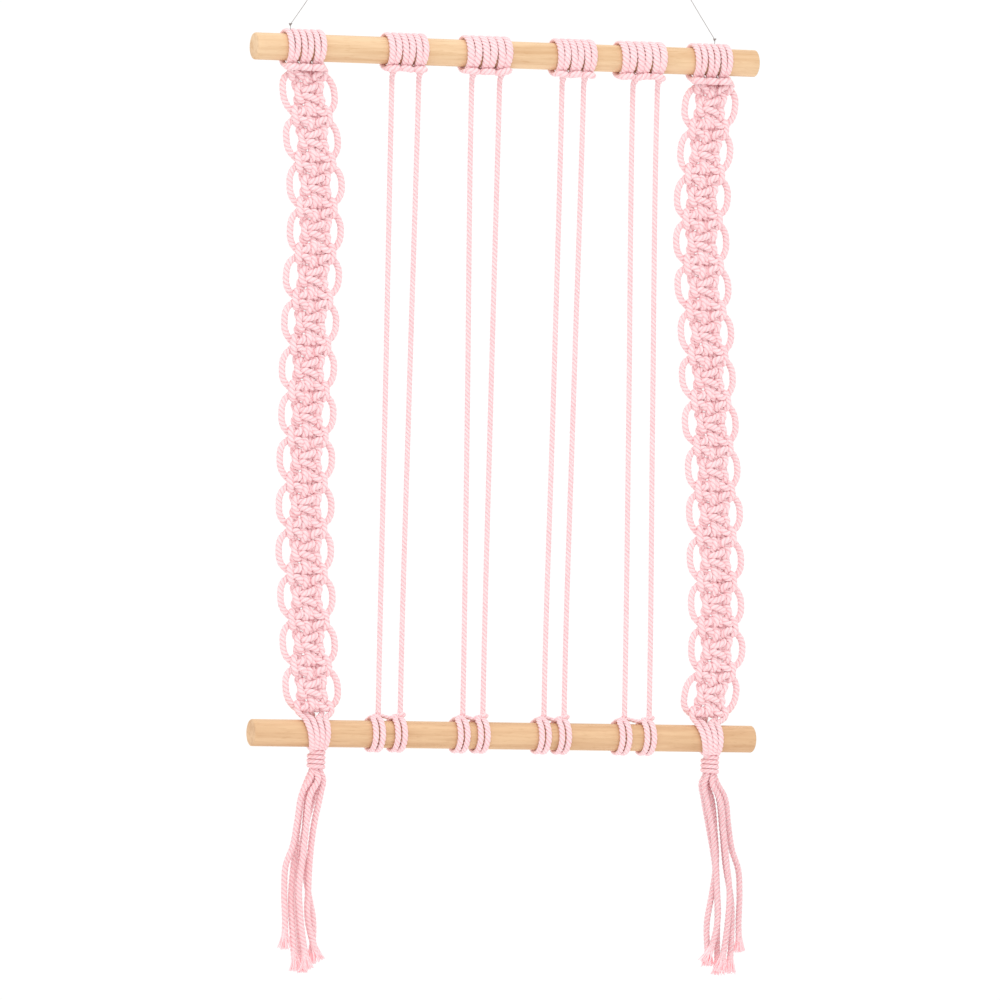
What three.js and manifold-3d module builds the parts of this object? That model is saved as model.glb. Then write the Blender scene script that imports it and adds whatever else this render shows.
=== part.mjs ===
// Macrame wall hanging for hair clips and bows: two wooden dowels, a knotted strap of
// cord with picot loops at each side, four pairs of plain cords between them, a tassel
// under each strap and two thin hanging threads.
//
// Millimetres, +Z up, the front faces -Y and X runs along the dowels. The origin is the
// middle of the upper dowel, on its axis.

import * as THREE from 'three';
import { mergeVertices } from 'three/addons/utils/BufferGeometryUtils.js';
import Module from 'manifold-3d';

// ---- driving dimensions ----------------------------------------------------------

const DOWEL_LENGTH = 300;
const DOWEL_RADIUS = 7.5;
const DOWEL_CHAMFER = 0.9;
const DOWEL_SPACING = 378;
const LOWER_DOWEL_SHIFT = 6.5;
const CORD_RADIUS = 1.5;
const FIT_GAP = 0.3;

// Hitches: turns of cord lie side by side round the wood, held by a bar low in front.
const TURN_GAP = 0.4;
const STRAP_TURN_SPARE = 0.6;
const LOWER_TURN_SPARE = 1.0;
const VALLEY_DEPTH = 1.05;
const BAR_ANGLE = -58;
const BAR_SINK = 0.45;
const BAR_SPARE = 0.4;
const BRIDGE_RADIUS = 1.2;
const TURNS_PER_KNOT = 2;
const KNOTS_PER_HITCH = 3;
const STRAP_HITCH_INSET = 28.4;

// Straps: rows of side by side knots with one wide knot between rows, and an edge cord
// down each side that swings out into a picot between rows.
const ROW_COUNT = 14;
const ROW_INSET = 1.35;
const ROW_HALF_WIDTH = 6;
const ROW_HALF_HEIGHT = 3.6;
const KNOT_HALF_WIDTH = 8.2;
const KNOT_SHARE = 0.36;
const STRAP_HALF_THICKNESS = 4.2;
const PICOT_REACH = 15.4;
const PICOT_STRAIGHT_SHARE = 0.35;
const PICOT_DROP = 0.8;

// Each strap: its side, the turn after which its hanging thread is tied, and its centre
// line as [x from the hitch's middle, share of the way down to the lower dowel].
const STRAPS = [
  {
    side: 'left', sign: -1, threadTurn: 1, line: [[2.6, 0], [6.1, 0.078], [10, 0.224],
      [8.2, 0.377], [7.3, 0.581], [8.6, 0.782], [12.1, 0.925], [14.6, 1]],
  },
  {
    side: 'right', sign: 1, threadTurn: 4, line: [[2.9, 0], [0.3, 0.073], [-2.3, 0.184],
      [1.4, 0.377], [7.2, 0.578], [10.9, 0.782], [12, 0.908], [7.4, 1]],
  },
];

// Cord pairs: the place of the upper hitch as a share of the way from the middle to a
// strap's hitch, the slack beside each of its turns, and where the legs leave it and
// reach the lower dowel, from the hitch's middle.
const PAIRS = [
  { place: -0.506, turnSpare: 1.0, top: [-6.6, 9.4], bottom: [-6.8, 6.3] },
  { place: -0.109, turnSpare: 1.6, top: [-7.3, 9.4], bottom: [-4.7, 7.3] },
  { place: 0.322, turnSpare: 1.0, top: [-5.6, 7.4], bottom: [-8.5, 3.6] },
  { place: 0.655, turnSpare: 1.6, top: [-3.4, 11.4], bottom: [-0.5, 14.4] },
];
const LEG_RADIUS = 1.4;
const LOWER_HITCH_OFFSET = -2.4;

// Gathering of each strap's six cords round and under the lower dowel, with places
// along X from the middle of the strap's hitch.
const GATHERINGS = {
  left: { topX: 14.2, neckX: 17.0, mirror: 1, lean: 0 },
  right: { topX: 5.8, neckX: 9.8, mirror: -1, lean: 0.04 },
};
const NECK_RADIUS = 3.7;
const WRAP_WALL = 1.4;
const WRAP_HEIGHT = 8.6;
const WRAP_TURNS = 3;
const WRAP_GROOVE = 0.5;
const WRAP_DROP = 0.5;
const FRONT_CORDS = 4;
const BACK_CORDS = 2;
const SADDLE_TOP_PITCH = 3.9;
const SADDLE_NECK_PITCH = 2.1;

// How far round the dowel a saddle cord has got, in degrees above the horizon, and how
// far it has moved from its place on top towards its place in the neck.
const SADDLE_ROUTE = [[80, 0], [45, 0.1], [0, 0.35], [-40, 0.6], [-68, 0.85], [-86, 1]];

// Tassel cords for the left tassel: [x, y, down] from the neck's lower end. The right
// tassel mirrors them in x and leans outwards.
const TASSEL_ROUTES = [
  [[-3.6, -2, 0.9], [-8, -1.9, 8.3], [-10.6, -0.9, 24.3], [-12.8, -0.5, 38.3], [-16.6, 0, 49.3],
    [-17.2, 0, 62.3], [-16.3, 0, 80.3], [-16.4, -0.3, 97.3]],
  [[-3.6, 1.9, 0.9], [-6.3, 2.5, 8.3], [-8.6, 3.2, 26.3], [-10.4, 3.6, 46.3],
    [-12.6, 1.2, 68.3], [-11.8, -0.2, 86.3], [-9.6, -0.4, 109.3]],
  [[-0.1, -4, 0.9], [-4.2, -4, 9.3], [-6.4, -3.9, 27.3], [-8, -3.7, 44.3], [-9.7, -3.4, 62.3],
    [-8.2, -3.2, 80.3], [-3.1, -3, 108.3]],
  [[0.1, 3.9, 0.9], [-2.5, 3.9, 9.3], [-4.2, 3.7, 27.3], [-4.6, 3.4, 46.3], [-1.6, 3.4, 64.3],
    [1.4, 3.3, 78.3], [0.7, 3.4, 105.3]],
  [[3.6, -1.7, 0.9], [2.4, -1.4, 10.3], [-0.8, -1.2, 26.3], [-2.6, -0.9, 43.3],
    [-3.3, -0.8, 62.3], [-3.5, -0.7, 76.3], [1.2, -0.7, 94.3], [5.6, -0.7, 103.3]],
  [[3.7, 2.3, 0.9], [1.8, 4.6, 9.3], [-2.7, 7.4, 28.3], [-5.6, 7.4, 46.3], [-6.6, 7, 70.3],
    [-5.6, 5.8, 88.3], [-4.4, 3.2, 110.3]],
];
const TASSEL_STEPS = 14;

// Hanging threads: how far each rises and runs sideways from its knot to its far end.
const THREAD_RADIUS = 0.4;
const THREAD_KNOT_RADIUS = 1.1;
const THREAD_KNOT_GAP = 0.6;
const THREAD_RUNS = { left: { rise: 25, run: 17.2 }, right: { rise: 28, run: -19.2 } };
const THREAD_STEPS = 12;
const EYE_RADIUS = 3.4;

// ---- sizes that follow -----------------------------------------------------------

const CORD_DIAMETER = 2 * CORD_RADIUS;
const TURN_INNER = DOWEL_RADIUS + TURN_GAP;
const TURN_OUTER = TURN_INNER + CORD_DIAMETER;
const STRAP_TURN_PITCH = CORD_DIAMETER + STRAP_TURN_SPARE;
const LOWER_TURN_PITCH = CORD_DIAMETER + LOWER_TURN_SPARE;
const STRAP_HITCH_X = DOWEL_LENGTH / 2 - STRAP_HITCH_INSET;
const STRAP_TOP_Z = -(TURN_OUTER + 2 * FIT_GAP);
const STRAP_BOTTOM_Z = -DOWEL_SPACING + TURN_OUTER + 2 * FIT_GAP;
const FIRST_ROW_Z = -(TURN_OUTER + ROW_INSET);
const ROW_PITCH = (DOWEL_SPACING + 2 * FIRST_ROW_Z) / ROW_COUNT;
const WRAP_TOP_Z = -(DOWEL_SPACING + TURN_OUTER + WRAP_DROP);
const THREAD_SLOT = 2 * (THREAD_RADIUS + FIT_GAP);
const THREAD_RING = DOWEL_RADIUS + FIT_GAP + THREAD_RADIUS;
const THREAD_KNOT_Z = TURN_OUTER + THREAD_KNOT_GAP + THREAD_KNOT_RADIUS;

// ---- facet counts ----------------------------------------------------------------

const DOWEL_FACETS = 32;
const TURN_FACETS = 12;
const CORD_SIDES = 8;
const EDGE_STEPS = 8;
const SADDLE_STEPS = 7;
const STRAP_FACETS = 8;
const LINE_SAMPLES = 200;
const RING_FACETS = 20;
const EYE_FACETS = 14;
const NECK_FACETS = 12;
const FINE_SIDES = 6;
const KNOT_RINGS = 6;

// ---- materials -------------------------------------------------------------------

const COTTON = { color: 0xf4c9cb, roughness: 0.9, metalness: 0 };
const BEECH = { color: 0xe9c795, roughness: 0.55, metalness: 0 };
const THREAD = { color: 0xe6ddd6, roughness: 0.4, metalness: 0 };

const part = new THREE.Group();

function addPiece(name, geometry, look) {
  const mesh = new THREE.Mesh(geometry, new THREE.MeshStandardMaterial(look));
  mesh.name = name;
  part.add(mesh);
}

// ---- solid tools -----------------------------------------------------------------

const wasm = await Module();
wasm.setup();

function toSolid(geometry) {
  const plain = geometry.clone();
  plain.deleteAttribute('normal');
  plain.deleteAttribute('uv');
  const merged = mergeVertices(plain, 1e-4);
  return new wasm.Manifold(new wasm.Mesh({
    numProp: 3,
    vertProperties: new Float32Array(merged.attributes.position.array),
    triVerts: new Uint32Array(merged.index.array),
  }));
}

function join(geometries) {
  const whole = geometries.map(toSolid).reduce((sum, next) => sum.add(next));
  const mesh = whole.getMesh();
  const geometry = new THREE.BufferGeometry();
  const position = new THREE.BufferAttribute(new Float32Array(mesh.vertProperties), 3);
  geometry.setAttribute('position', position);
  geometry.setIndex(new THREE.BufferAttribute(new Uint32Array(mesh.triVerts), 1));
  return geometry;
}

function tube(points, radius, steps, sides = CORD_SIDES) {
  const path = new THREE.CatmullRomCurve3(points, false, 'centripetal');
  const section = new THREE.Shape();
  section.absarc(0, 0, radius, 0, 2 * Math.PI, false);
  return new THREE.ExtrudeGeometry(section, {
    steps, extrudePath: path, curveSegments: sides / 2, bevelEnabled: false,
  });
}

// A solid of revolution about X, from [along, radius] points, moved to (x, 0, z).
function turnedAlongX(profile, facets, x, z) {
  const points = profile.map(([along, radius]) => new THREE.Vector2(radius, along));
  const geometry = new THREE.LatheGeometry(points, facets);
  geometry.rotateZ(-Math.PI / 2);
  geometry.translate(x, 0, z);
  return geometry;
}

// A solid of revolution about Z, from [radius, z] points, moved to (x, 0, z).
function turnedAlongZ(profile, facets, x, z) {
  const points = profile.map(([radius, height]) => new THREE.Vector2(radius, height));
  const geometry = new THREE.LatheGeometry(points, facets);
  geometry.rotateX(Math.PI / 2);
  geometry.translate(x, 0, z);
  return geometry;
}

// A torus round X or Y, moved to a centre.
function ring(radius, facets, axis, centre) {
  const geometry = new THREE.TorusGeometry(radius, THREAD_RADIUS, FINE_SIDES - 1, facets);
  if (axis === 'x') geometry.rotateY(Math.PI / 2);
  if (axis === 'y') geometry.rotateX(Math.PI / 2);
  geometry.translate(centre.x, centre.y, centre.z);
  return geometry;
}

// ---- dowels ----------------------------------------------------------------------

function dowel(x, z) {
  const half = DOWEL_LENGTH / 2;
  const rim = DOWEL_RADIUS - DOWEL_CHAMFER;
  return turnedAlongX([[-half, 0], [-half, rim], [DOWEL_CHAMFER - half, DOWEL_RADIUS],
    [half - DOWEL_CHAMFER, DOWEL_RADIUS], [half, rim], [half, 0]], DOWEL_FACETS, x, z);
}

// ---- turns of cord on a dowel ----------------------------------------------------

// Turns lying side by side: a sleeve whose outside has one crest for each turn.
function turns(count, pitch, x, z) {
  const half = count * pitch / 2;
  const valley = TURN_OUTER - VALLEY_DEPTH;
  const profile = [[-half, TURN_INNER], [-half, valley]];
  for (let turn = 0; turn < count; turn += 1) {
    profile.push([-half + (turn + 0.5) * pitch, TURN_OUTER]);
    profile.push([-half + (turn + 1) * pitch, valley]);
  }
  profile.push([half, TURN_INNER], [-half, TURN_INNER]);
  return turnedAlongX(profile, TURN_FACETS, x, z);
}

// The bar of a lark's head knot lies along X across the foot of its turns.
function knotBar(x, width) {
  const reach = TURN_OUTER - BAR_SINK;
  const angle = THREE.MathUtils.degToRad(BAR_ANGLE);
  const half = (width - BAR_SPARE) / 2;
  const ends = [-half, half].map((along) => new THREE.Vector3(
    x + along, -reach * Math.cos(angle), reach * Math.sin(angle)));
  return tube(ends, CORD_RADIUS, 1, FINE_SIDES);
}

// ---- strap -----------------------------------------------------------------------

// The x of a strap's centre line at a height, measured from its hitch's middle.
function strapLine(line) {
  const curve = new THREE.CatmullRomCurve3(line.map(([x, share]) => new THREE.Vector3(
    x, 0, FIRST_ROW_Z + share * (STRAP_BOTTOM_Z - FIRST_ROW_Z))), false, 'centripetal');
  const samples = curve.getPoints(LINE_SAMPLES);
  return (z) => samples.reduce((best, sample) => (
    Math.abs(sample.z - z) < Math.abs(best.z - z) ? sample : best)).x;
}

function bendToLine(geometry, hitchX, lineAt) {
  const position = geometry.attributes.position;
  for (let i = 0; i < position.count; i += 1) {
    position.setX(i, position.getX(i) + hitchX + lineAt(position.getZ(i)));
  }
  return geometry;
}

// The knotted middle: an oval bar, narrow at each row and wider at each wide knot.
function strapCore() {
  const profile = [[0, STRAP_BOTTOM_Z], [ROW_HALF_WIDTH, STRAP_BOTTOM_Z]];
  for (let row = ROW_COUNT - 1; row >= 0; row -= 1) {
    const top = FIRST_ROW_Z - row * ROW_PITCH;
    profile.push([ROW_HALF_WIDTH, top - ROW_PITCH + ROW_HALF_HEIGHT]);
    profile.push([KNOT_HALF_WIDTH, top - (0.5 + KNOT_SHARE / 2) * ROW_PITCH]);
    profile.push([KNOT_HALF_WIDTH, top - (0.5 - KNOT_SHARE / 2) * ROW_PITCH]);
    profile.push([ROW_HALF_WIDTH, top - ROW_HALF_HEIGHT]);
  }
  profile.push([ROW_HALF_WIDTH, STRAP_TOP_Z], [0, STRAP_TOP_Z]);
  const core = turnedAlongZ(profile, STRAP_FACETS, 0, 0);
  core.scale(1, STRAP_HALF_THICKNESS / KNOT_HALF_WIDTH, 1);
  return core;
}

// The outermost cord of one side: down beside each row, then out round each picot.
function edgeCord(side) {
  const root = ROW_HALF_WIDTH + FIT_GAP + CORD_RADIUS;
  const shoulder = (root + PICOT_REACH) / 2;
  const route = [[root, FIRST_ROW_Z]];
  for (let row = 0; row < ROW_COUNT; row += 1) {
    const top = FIRST_ROW_Z - row * ROW_PITCH - CORD_RADIUS;
    const bottom = top - ROW_PITCH + CORD_DIAMETER;
    const middle = (top + bottom) / 2;
    const straight = PICOT_STRAIGHT_SHARE * (top - bottom) / 2;
    const upper = [[root, top + CORD_RADIUS / 2], [shoulder, top - PICOT_DROP],
      [PICOT_REACH, middle + straight]];
    route.push(...upper, ...upper.map(([x, z]) => [x, top + bottom - z]).reverse());
  }
  route.push([root, FIRST_ROW_Z - ROW_COUNT * ROW_PITCH]);
  const points = route.map(([x, z]) => new THREE.Vector3(side * x, 0, z));
  return tube(points, CORD_RADIUS, ROW_COUNT * EDGE_STEPS, FINE_SIDES);
}

function addStrap({ side, sign, line }) {
  const lineAt = strapLine(line);
  const hitchX = sign * STRAP_HITCH_X;
  addPiece(`${side}_strap_core`, bendToLine(strapCore(), hitchX, lineAt), COTTON);
  addPiece(`${side}_strap_left_edge_cord`, bendToLine(edgeCord(-1), hitchX, lineAt), COTTON);
  addPiece(`${side}_strap_right_edge_cord`, bendToLine(edgeCord(1), hitchX, lineAt), COTTON);
}

// ---- gathering under the lower dowel ---------------------------------------------

// One of the strap's cords: from the top of the lower dowel round its front or back
// into the neck below.
function saddleCord(topX, neckX, facing, place) {
  const radius = TURN_INNER + CORD_RADIUS;
  const from = topX + place * SADDLE_TOP_PITCH;
  const to = neckX + place * SADDLE_NECK_PITCH;
  const points = SADDLE_ROUTE.map(([degrees, share]) => {
    const angle = THREE.MathUtils.degToRad(degrees);
    return new THREE.Vector3(from + share * (to - from), facing * radius * Math.cos(angle),
      -DOWEL_SPACING + radius * Math.sin(angle));
  });
  return tube(points, CORD_RADIUS, SADDLE_STEPS, FINE_SIDES);
}

// The bundled neck: a pin through the wrap with a round lower end.
function neck(neckX) {
  const low = -WRAP_HEIGHT;
  const round = [60, 30].map((degrees) => {
    const angle = THREE.MathUtils.degToRad(degrees);
    return [NECK_RADIUS * Math.cos(angle), low - NECK_RADIUS * Math.sin(angle)];
  });
  const profile = [[0, low - NECK_RADIUS], ...round, [NECK_RADIUS, low],
    [NECK_RADIUS, CORD_RADIUS], [0, CORD_RADIUS]];
  return turnedAlongZ(profile, NECK_FACETS, neckX, WRAP_TOP_Z);
}

function saddle(topX, neckX) {
  const pieces = [neck(neckX)];
  [[-1, FRONT_CORDS], [1, BACK_CORDS]].forEach(([facing, count]) => {
    for (let i = 0; i < count; i += 1) {
      pieces.push(saddleCord(topX, neckX, facing, i - (count - 1) / 2));
    }
  });
  return join(pieces);
}

function wrap(neckX) {
  const inner = NECK_RADIUS + FIT_GAP;
  const crest = inner + WRAP_WALL;
  const valley = crest - WRAP_GROOVE;
  const pitch = WRAP_HEIGHT / WRAP_TURNS;
  const profile = [[inner, -WRAP_HEIGHT], [valley, -WRAP_HEIGHT]];
  for (let turn = 0; turn < WRAP_TURNS; turn += 1) {
    profile.push([crest, -WRAP_HEIGHT + (turn + 0.5) * pitch]);
    profile.push([valley, -WRAP_HEIGHT + (turn + 1) * pitch]);
  }
  profile.push([inner, 0], [inner, -WRAP_HEIGHT]);
  return turnedAlongZ(profile, NECK_FACETS, neckX, WRAP_TOP_Z);
}

function tasselCord(neckX, { mirror, lean }, route) {
  const foot = WRAP_TOP_Z - WRAP_HEIGHT - NECK_RADIUS;
  const points = route.map(([x, y, down]) => new THREE.Vector3(
    neckX + mirror * x + lean * down, y, foot - down));
  return tube(points, CORD_RADIUS, TASSEL_STEPS);
}

// ---- hanging threads -------------------------------------------------------------

function threadTie(x) {
  const loop = ring(THREAD_RING, RING_FACETS, 'x', new THREE.Vector3(x, 0, 0));
  const stem = tube([new THREE.Vector3(x, 0, THREAD_RING),
    new THREE.Vector3(x, 0, THREAD_KNOT_Z)], THREAD_RADIUS, 1);
  const knot = new THREE.SphereGeometry(THREAD_KNOT_RADIUS, CORD_SIDES, KNOT_RINGS);
  knot.translate(x, 0, THREAD_KNOT_Z);
  return join([loop, stem, knot]);
}

function addThread(side, x) {
  const { rise, run } = THREAD_RUNS[side];
  const start = new THREE.Vector3(x, 0, THREAD_KNOT_Z);
  const along = new THREE.Vector3(run, 0, rise).normalize();
  const length = Math.hypot(run, rise);
  const from = start.clone().addScaledVector(along, THREAD_KNOT_RADIUS + FIT_GAP);
  const to = start.clone().addScaledVector(along, length);
  const eye = to.clone().addScaledVector(along, EYE_RADIUS + THREAD_RADIUS + FIT_GAP);
  addPiece(`${side}_thread_tie`, threadTie(x), THREAD);
  addPiece(`${side}_hanging_thread`, tube([from, to], THREAD_RADIUS, THREAD_STEPS), THREAD);
  addPiece(`${side}_hanging_eye`, ring(EYE_RADIUS, EYE_FACETS, 'y', eye), THREAD);
}

// ---- assembly --------------------------------------------------------------------

// Six turns under one bar, with a slot under the bar where the hanging thread is tied
// round the dowel.
function addStrapHitch({ side, sign, threadTurn }) {
  const count = TURNS_PER_KNOT * KNOTS_PER_HITCH;
  const width = count * STRAP_TURN_PITCH + THREAD_SLOT;
  const middle = sign * STRAP_HITCH_X;
  const leftWidth = threadTurn * STRAP_TURN_PITCH;
  const rightWidth = (count - threadTurn) * STRAP_TURN_PITCH;
  const slotX = middle - width / 2 + leftWidth + THREAD_SLOT / 2;
  const leftX = middle - (width - leftWidth) / 2;
  const rightX = middle + (width - rightWidth) / 2;
  addPiece(`${side}_strap_hitch`, join([knotBar(middle, width),
    turns(threadTurn, STRAP_TURN_PITCH, leftX, 0),
    turns(count - threadTurn, STRAP_TURN_PITCH, rightX, 0)]), COTTON);
  addThread(side, slotX);
}

function upperHitch(x, pitch) {
  const knotWidth = TURNS_PER_KNOT * pitch;
  const pieces = [turns(TURNS_PER_KNOT * KNOTS_PER_HITCH, pitch, x, 0)];
  for (let knot = 0; knot < KNOTS_PER_HITCH; knot += 1) {
    pieces.push(knotBar(x + (knot - (KNOTS_PER_HITCH - 1) / 2) * knotWidth, knotWidth));
  }
  return join(pieces);
}

function lowerHitch(places) {
  const pieces = places.map((x) => turns(TURNS_PER_KNOT, LOWER_TURN_PITCH, x, -DOWEL_SPACING));
  const z = -DOWEL_SPACING + TURN_OUTER - BRIDGE_RADIUS;
  const ends = places.map((x) => new THREE.Vector3(x, 0, z));
  pieces.push(tube(ends, BRIDGE_RADIUS, 1, FINE_SIDES));
  return join(pieces);
}

function addPair(name, { place, turnSpare, top, bottom }) {
  const x = place * STRAP_HITCH_X;
  addPiece(`${name}_upper_hitch`, upperHitch(x, CORD_DIAMETER + turnSpare), COTTON);
  ['left', 'right'].forEach((side, leg) => {
    const from = new THREE.Vector3(x + top[leg], 0, -(TURN_OUTER + FIT_GAP));
    const to = new THREE.Vector3(x + bottom[leg], 0, -DOWEL_SPACING + TURN_OUTER + FIT_GAP);
    addPiece(`${name}_${side}_cord`, tube([from, to], LEG_RADIUS, 1), COTTON);
  });
  const places = bottom.map((along) => x + along + LOWER_HITCH_OFFSET);
  addPiece(`${name}_lower_hitch`, lowerHitch(places), COTTON);
}

function addGathering({ side, sign }) {
  const gathering = GATHERINGS[side];
  const topX = sign * STRAP_HITCH_X + gathering.topX;
  const neckX = sign * STRAP_HITCH_X + gathering.neckX;
  addPiece(`${side}_saddle_cords`, saddle(topX, neckX), COTTON);
  addPiece(`${side}_gathering_wrap`, wrap(neckX), COTTON);
  TASSEL_ROUTES.forEach((route, index) => {
    addPiece(`${side}_tassel_cord_${index + 1}`, tasselCord(neckX, gathering, route), COTTON);
  });
}

addPiece('upper_dowel', dowel(0, 0), BEECH);
addPiece('lower_dowel', dowel(LOWER_DOWEL_SHIFT, -DOWEL_SPACING), BEECH);
STRAPS.forEach((strapSide) => {
  addStrapHitch(strapSide);
  addStrap(strapSide);
  addGathering(strapSide);
});
PAIRS.forEach((pair, index) => addPair(`pair_${index + 1}`, pair));

export default part;
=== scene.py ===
"""Pink macrame wall hanging for hair clips: two dowels, two picot straps, four cord pairs.

The file is laid out as an add-on and runs as a script. Lengths inside the surface
functions are in millimetres; meshes are made in metres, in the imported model's frame.
The front faces -Y, +Z is up and X runs along the dowels.
"""

import math

import bpy
import numpy as np
from bpy.props import FloatProperty, FloatVectorProperty, IntProperty, PointerProperty
from mathutils import Matrix, Vector


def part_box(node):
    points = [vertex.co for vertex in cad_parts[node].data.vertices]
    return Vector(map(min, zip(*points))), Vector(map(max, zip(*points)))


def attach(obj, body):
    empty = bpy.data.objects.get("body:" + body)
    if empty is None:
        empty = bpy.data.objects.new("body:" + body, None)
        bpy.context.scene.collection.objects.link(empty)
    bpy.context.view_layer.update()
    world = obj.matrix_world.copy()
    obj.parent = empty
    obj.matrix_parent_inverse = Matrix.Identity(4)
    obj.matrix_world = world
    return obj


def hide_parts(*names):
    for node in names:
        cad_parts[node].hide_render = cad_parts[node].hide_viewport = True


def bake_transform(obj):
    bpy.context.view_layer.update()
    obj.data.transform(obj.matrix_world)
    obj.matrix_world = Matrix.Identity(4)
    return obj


bl_info = {
    "name": "Macrame Hair Clip Hanging",
    "version": (1, 0, 0),
    "blender": (4, 5, 0),
    "location": "View3D > Sidebar > Hanging",
    "description": "Cotton cord, beech dowels and thread of a knotted wall hanging",
    "category": "Mesh",
}

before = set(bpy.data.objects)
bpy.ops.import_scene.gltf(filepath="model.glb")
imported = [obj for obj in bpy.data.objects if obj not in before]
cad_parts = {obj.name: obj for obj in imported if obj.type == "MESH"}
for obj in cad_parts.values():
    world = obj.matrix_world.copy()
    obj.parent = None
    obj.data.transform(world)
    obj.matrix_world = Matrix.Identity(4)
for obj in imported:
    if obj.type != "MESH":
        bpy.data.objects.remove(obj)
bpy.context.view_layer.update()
MM = 0.001
SIDES = ("left", "right")
PAIR_NAMES = ("pair_1", "pair_2", "pair_3", "pair_4")


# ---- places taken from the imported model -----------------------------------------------

def node_box(node):
    """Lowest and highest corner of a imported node, in millimetres."""
    low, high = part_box(node)
    return np.array(low) / MM, np.array(high) / MM


def node_middle(node):
    low, high = node_box(node)
    return (low + high) / 2


DOWEL_RADIUS = (node_box("upper_dowel")[1][2] - node_box("upper_dowel")[0][2]) / 2
LOWER_Z = node_middle("lower_dowel")[2]
TURN_OUTER = node_box("left_strap_hitch")[1][2]
ROW_COUNT = 14
ROW_INSET = 1.35
FIRST_ROW_Z = -(TURN_OUTER + ROW_INSET)
ROW_PITCH = (2 * FIRST_ROW_Z - LOWER_Z) / ROW_COUNT
STRAP_BOTTOM_Z = node_box("left_strap_core")[0][2]
WRAP_TOP_Z = node_box("left_gathering_wrap")[1][2]
WRAP_FOOT_Z = node_box("left_gathering_wrap")[0][2]
NECK_DROP = 3.7

# Centre line of each strap: x from the hitch's middle, share of the way down.
STRAP_LINES = {
    "left": [(2.6, 0), (6.1, 0.078), (10, 0.224), (8.2, 0.377), (7.3, 0.581), (8.6, 0.782),
             (12.1, 0.925), (14.6, 1)],
    "right": [(2.9, 0), (0.3, 0.073), (-2.3, 0.184), (1.4, 0.377), (7.2, 0.578),
              (10.9, 0.782), (12, 0.908), (7.4, 1)],
}
# Legs of each pair, from the middle of its upper hitch: where they leave and arrive.
PAIR_LEGS = {
    "pair_1": ((-6.6, 9.4), (-6.8, 6.3)),
    "pair_2": ((-7.3, 9.4), (-4.7, 7.3)),
    "pair_3": ((-5.6, 7.4), (-8.5, 3.6)),
    "pair_4": ((-3.4, 11.4), (-0.5, 14.4)),
}
LOWER_HITCH_OFFSET = -2.4
SADDLE_PITCH = {"top": 3.9, "neck": 2.0}
SADDLE_TOP = {"left": 14.2, "right": 5.8}

# Tassel cords, [x, y, down] from the neck's foot; the right tassel mirrors x and leans.
TASSEL_ROUTES = [
    [(-3.6, -2, 0.9), (-8, -1.9, 8.3), (-10.6, -0.9, 24.3), (-12.8, -0.5, 38.3),
     (-16.6, 0, 49.3), (-17.2, 0, 62.3), (-16.3, 0, 80.3), (-16.4, -0.3, 97.3)],
    [(-3.6, 1.9, 0.9), (-6.3, 2.5, 8.3), (-8.6, 3.2, 26.3), (-10.4, 3.6, 46.3),
     (-12.6, 1.2, 68.3), (-11.8, -0.2, 86.3), (-9.6, -0.4, 109.3)],
    [(-0.1, -4, 0.9), (-4.2, -4, 9.3), (-6.4, -3.9, 27.3), (-8, -3.7, 44.3),
     (-9.7, -3.4, 62.3), (-8.2, -3.2, 80.3), (-3.1, -3, 108.3)],
    [(0.1, 3.9, 0.9), (-2.5, 3.9, 9.3), (-4.2, 3.7, 27.3), (-4.6, 3.4, 46.3),
     (-1.6, 3.4, 64.3), (1.4, 3.3, 78.3), (0.7, 3.4, 105.3)],
    [(3.6, -1.7, 0.9), (2.4, -1.4, 10.3), (-0.8, -1.2, 26.3), (-2.6, -0.9, 43.3),
     (-3.3, -0.8, 62.3), (-3.5, -0.7, 76.3), (1.2, -0.7, 94.3), (5.6, -0.7, 103.3)],
    [(3.7, 2.3, 0.9), (1.8, 4.6, 9.3), (-2.7, 7.4, 28.3), (-5.6, 7.4, 46.3),
     (-6.6, 7, 70.3), (-5.6, 5.8, 88.3), (-4.4, 3.2, 110.3)],
]
TASSEL_SHAPE = {"left": (1, 0), "right": (-1, 0.04)}
FRAY_STEPS = 9  # route steps that each tassel cord gives up to its tuft

# How much the bar of each upper knot leans, knot by knot from the left.
KNOT_TILTS = {"pair_1": (0.2, -0.3, 0.1), "pair_2": (-0.2, 0.15, 0.9),
              "pair_3": (-0.4, 0.5, -0.3), "pair_4": (0.3, 0.6, -0.5)}

# Where the six cords pass through the neck, as (x, y) from its middle.
NECK_SPOTS = [(-2.3, -1.2), (-2.0, 1.5), (-0.8, -2.0), (0.3, 2.2), (1.9, -1.6), (2.2, 1.2)]

# Hanging threads: rise and sideways run from knot to far end.
THREAD_RUNS = {"left": (25.0, 17.2), "right": (28.0, -19.2)}
THREAD_KNOT_Z = 12.6
THREAD_RADIUS = 0.27
THREAD_TIE_RADIUS = 8.05
EYE_RADIUS = 3.4

# Stage, in metres.
AIM = (0.0014, -0.0006, -0.2471)
FLOOR_Z, FLOOR_HALF = -0.64, 1.3
SOFTBOX_SPOT, SOFTBOX_AIM, SOFTBOX_SIZE = (-0.7, -1.5, 2.1), (0, 0, -0.2), 1.5
DOME_STRENGTH = 1.03


# ---- sizes and colours a user would change ---------------------------------------------

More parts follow.
